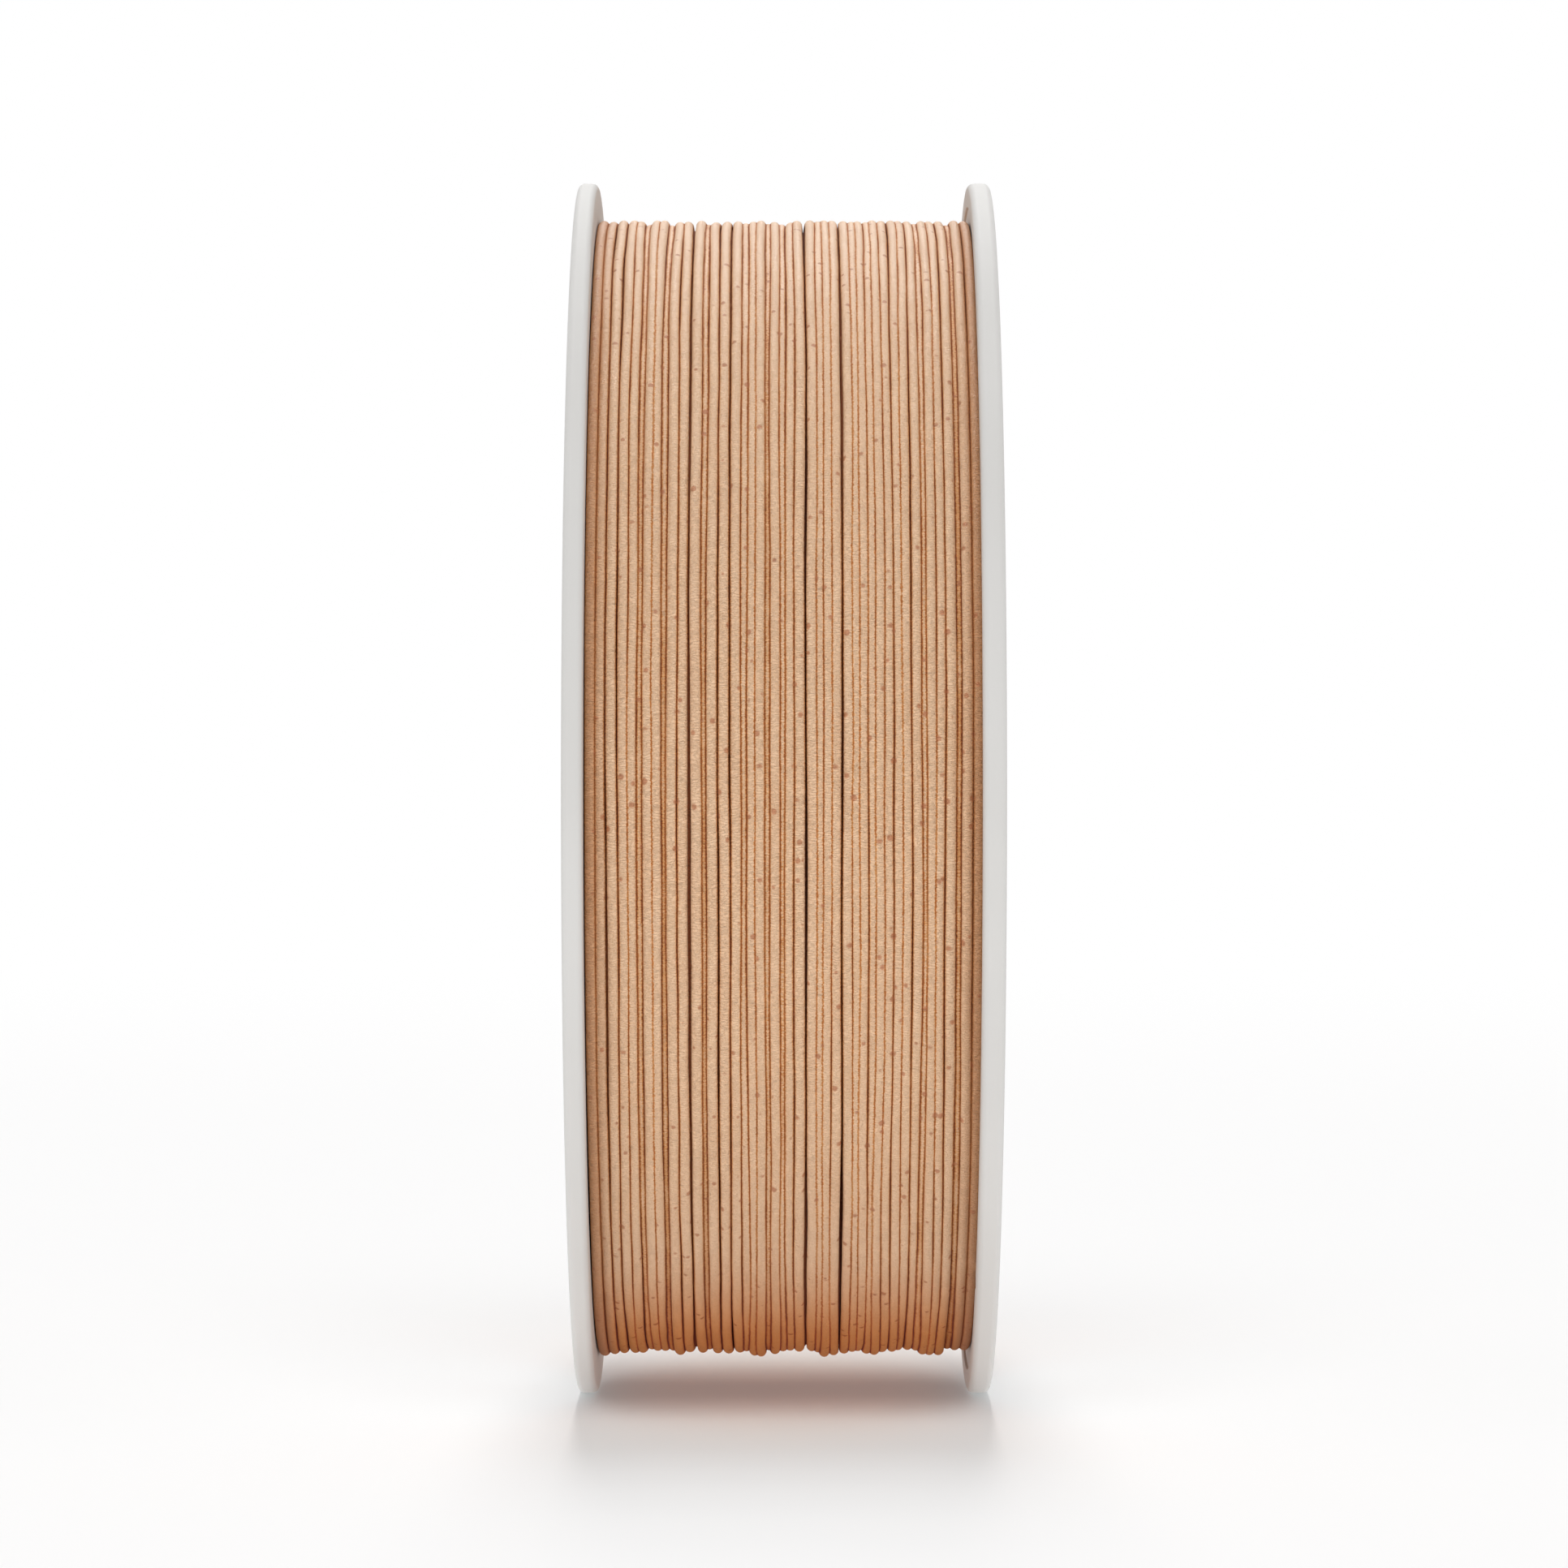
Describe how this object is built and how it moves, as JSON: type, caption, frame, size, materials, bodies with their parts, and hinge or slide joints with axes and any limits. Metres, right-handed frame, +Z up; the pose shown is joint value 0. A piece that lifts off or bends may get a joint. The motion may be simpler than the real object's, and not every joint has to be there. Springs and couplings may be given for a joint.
{
  "type": "wound strand reel",
  "caption": "Reel of tan strand on a cardboard core; its two flanged halves lock by a twist, and the right half and the refill slide off the left half's sleeve.",
  "frame": {"origin": "centre of the reel, on the axis of its bore, midway between the flanges' outer faces", "axes": "+X along the bore's axis from the left half to the right half, +Z up as the reel stands on its rims, +Y towards the back"},
  "size_m": [0.0676, 0.2, 0.2],
  "materials": {
    "reel_plastic": "satin moulded plastic, warm light grey",
    "core_board": "wound brown board",
    "strand": "wood-fibre filled strand, dull, fine grain with small brown specks"
  },
  "bodies": {
    "left_half": {"left_flange": "reel_plastic", "left_collar": "reel_plastic", "left_sleeve": "reel_plastic"},
    "refill": {"core_tube": "core_board", "strand_winding": "strand", "strand_outer_turns": "strand"},
    "right_half": {"right_flange": "reel_plastic", "right_collar": "reel_plastic", "right_spigot": "reel_plastic"}
  },
  "joints": [
    {"name": "refill_slide", "type": "slide", "parent": "left_half", "child": "refill", "axis": [1, 0, 0], "range_m": [0, 0.065]},
    {"name": "lock_twist", "type": "hinge", "parent": "refill", "child": "right_half", "pos_m": [0, 0, 0], "axis": [1, 0, 0], "range_deg": [0, 30]}
  ]
}
